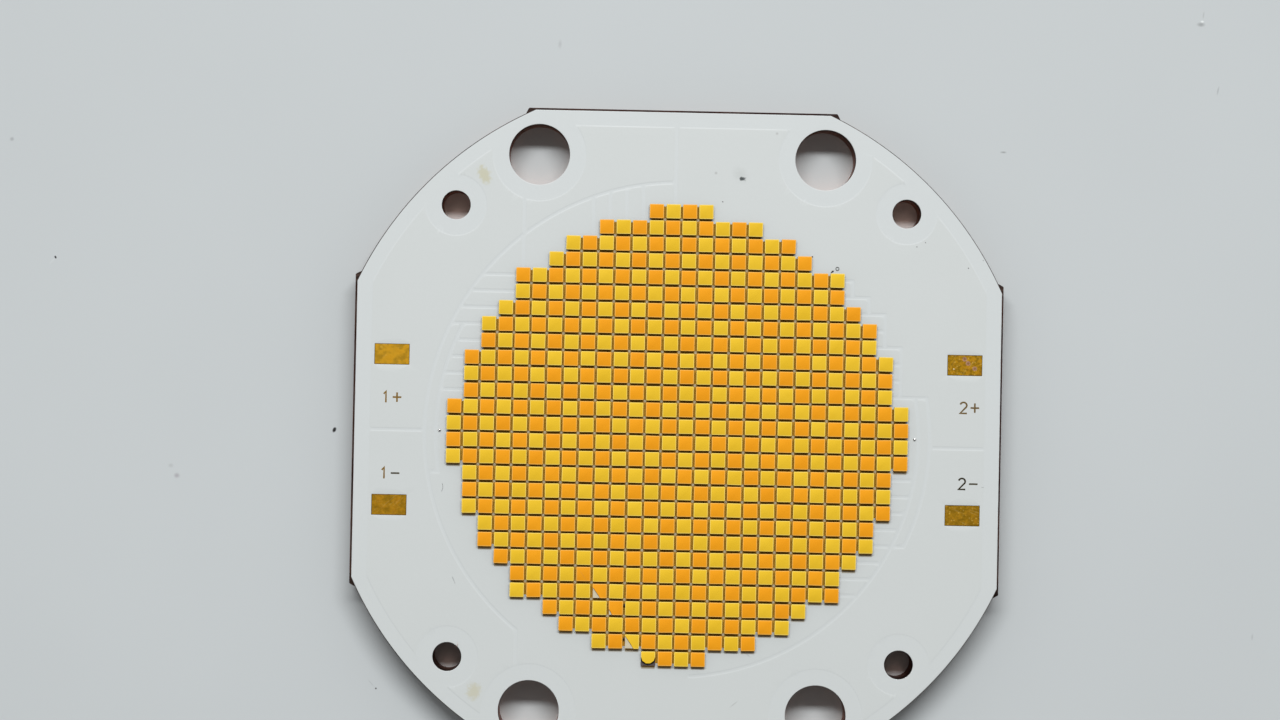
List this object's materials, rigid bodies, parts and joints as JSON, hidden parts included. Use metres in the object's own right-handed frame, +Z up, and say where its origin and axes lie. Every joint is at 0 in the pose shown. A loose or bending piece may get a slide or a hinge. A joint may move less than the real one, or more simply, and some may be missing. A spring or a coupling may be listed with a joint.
{
  "type": "cob led",
  "caption": "Round copper-cored light board with flats, mounting holes, gold solder pads and a round field of small square chips in orange and yellow, set like a chessboard.",
  "frame": {"origin": "centre of the copper core's underside", "axes": "+Z up from the cooling face to the chips, +Y towards the flat above the light field, +X towards the right-hand pads"},
  "size_m": [0.064, 0.064, 0.0036],
  "materials": {
    "copper": "bare milled copper, darkened at the cut edges",
    "dielectric": "filled resin",
    "white_mask": "satin white solder mask",
    "copper_foil": "etched copper foil",
    "gold": "thin gold plating, scratched",
    "tin": "tinned dot",
    "orange_phosphor": "matte phosphor in silicone",
    "yellow_phosphor": "matte phosphor in silicone",
    "pale_chip_body": "matte pale chip body",
    "dark_chip_base": "dark chip base"
  },
  "bodies": {
    "root": {"bared_chip_base": "dark_chip_base", "centre_marks": "tin", "copper_core": "copper", "dielectric_layer": "dielectric", "foil_fingers_left": "copper_foil", "foil_fingers_right": "copper_foil", "foil_lower_left": "copper_foil", "foil_lower_right": "copper_foil", "foil_ring_pieces": "copper_foil", "foil_row_strips": "copper_foil", "foil_top": "copper_foil", "foil_upper_left": "copper_foil", "foil_upper_right": "copper_foil", "orange_chips_rows_01_02": "orange_phosphor", "orange_chips_rows_03_04": "orange_phosphor", "orange_chips_rows_05_06": "orange_phosphor", "orange_chips_rows_07_08": "orange_phosphor", "orange_chips_rows_09_10": "orange_phosphor", "orange_chips_rows_11_12": "orange_phosphor", "orange_chips_rows_13_14": "orange_phosphor", "orange_chips_rows_15_16": "orange_phosphor", "orange_chips_rows_17_18": "orange_phosphor", "orange_chips_rows_19_20": "orange_phosphor", "orange_chips_rows_21_22": "orange_phosphor", "orange_chips_rows_23_24": "orange_phosphor", "orange_chips_rows_25_26": "orange_phosphor", "orange_chips_rows_27_28": "orange_phosphor", "pad_lower_left": "gold", "pad_lower_right": "gold", "pad_upper_left": "gold", "pad_upper_right": "gold", "solder_mask": "white_mask", "torn_chip_bodies": "pale_chip_body", "yellow_chips_rows_01_02": "yellow_phosphor", "yellow_chips_rows_03_04": "yellow_phosphor", "yellow_chips_rows_05_06": "yellow_phosphor", "yellow_chips_rows_07_08": "yellow_phosphor", "yellow_chips_rows_09_10": "yellow_phosphor", "yellow_chips_rows_11_12": "yellow_phosphor", "yellow_chips_rows_13_14": "yellow_phosphor", "yellow_chips_rows_15_16": "yellow_phosphor", "yellow_chips_rows_17_18": "yellow_phosphor", "yellow_chips_rows_19_20": "yellow_phosphor", "yellow_chips_rows_21_22": "yellow_phosphor", "yellow_chips_rows_23_24": "yellow_phosphor", "yellow_chips_rows_25_26": "yellow_phosphor", "yellow_chips_rows_27_28": "yellow_phosphor"}
  },
  "joints": []
}
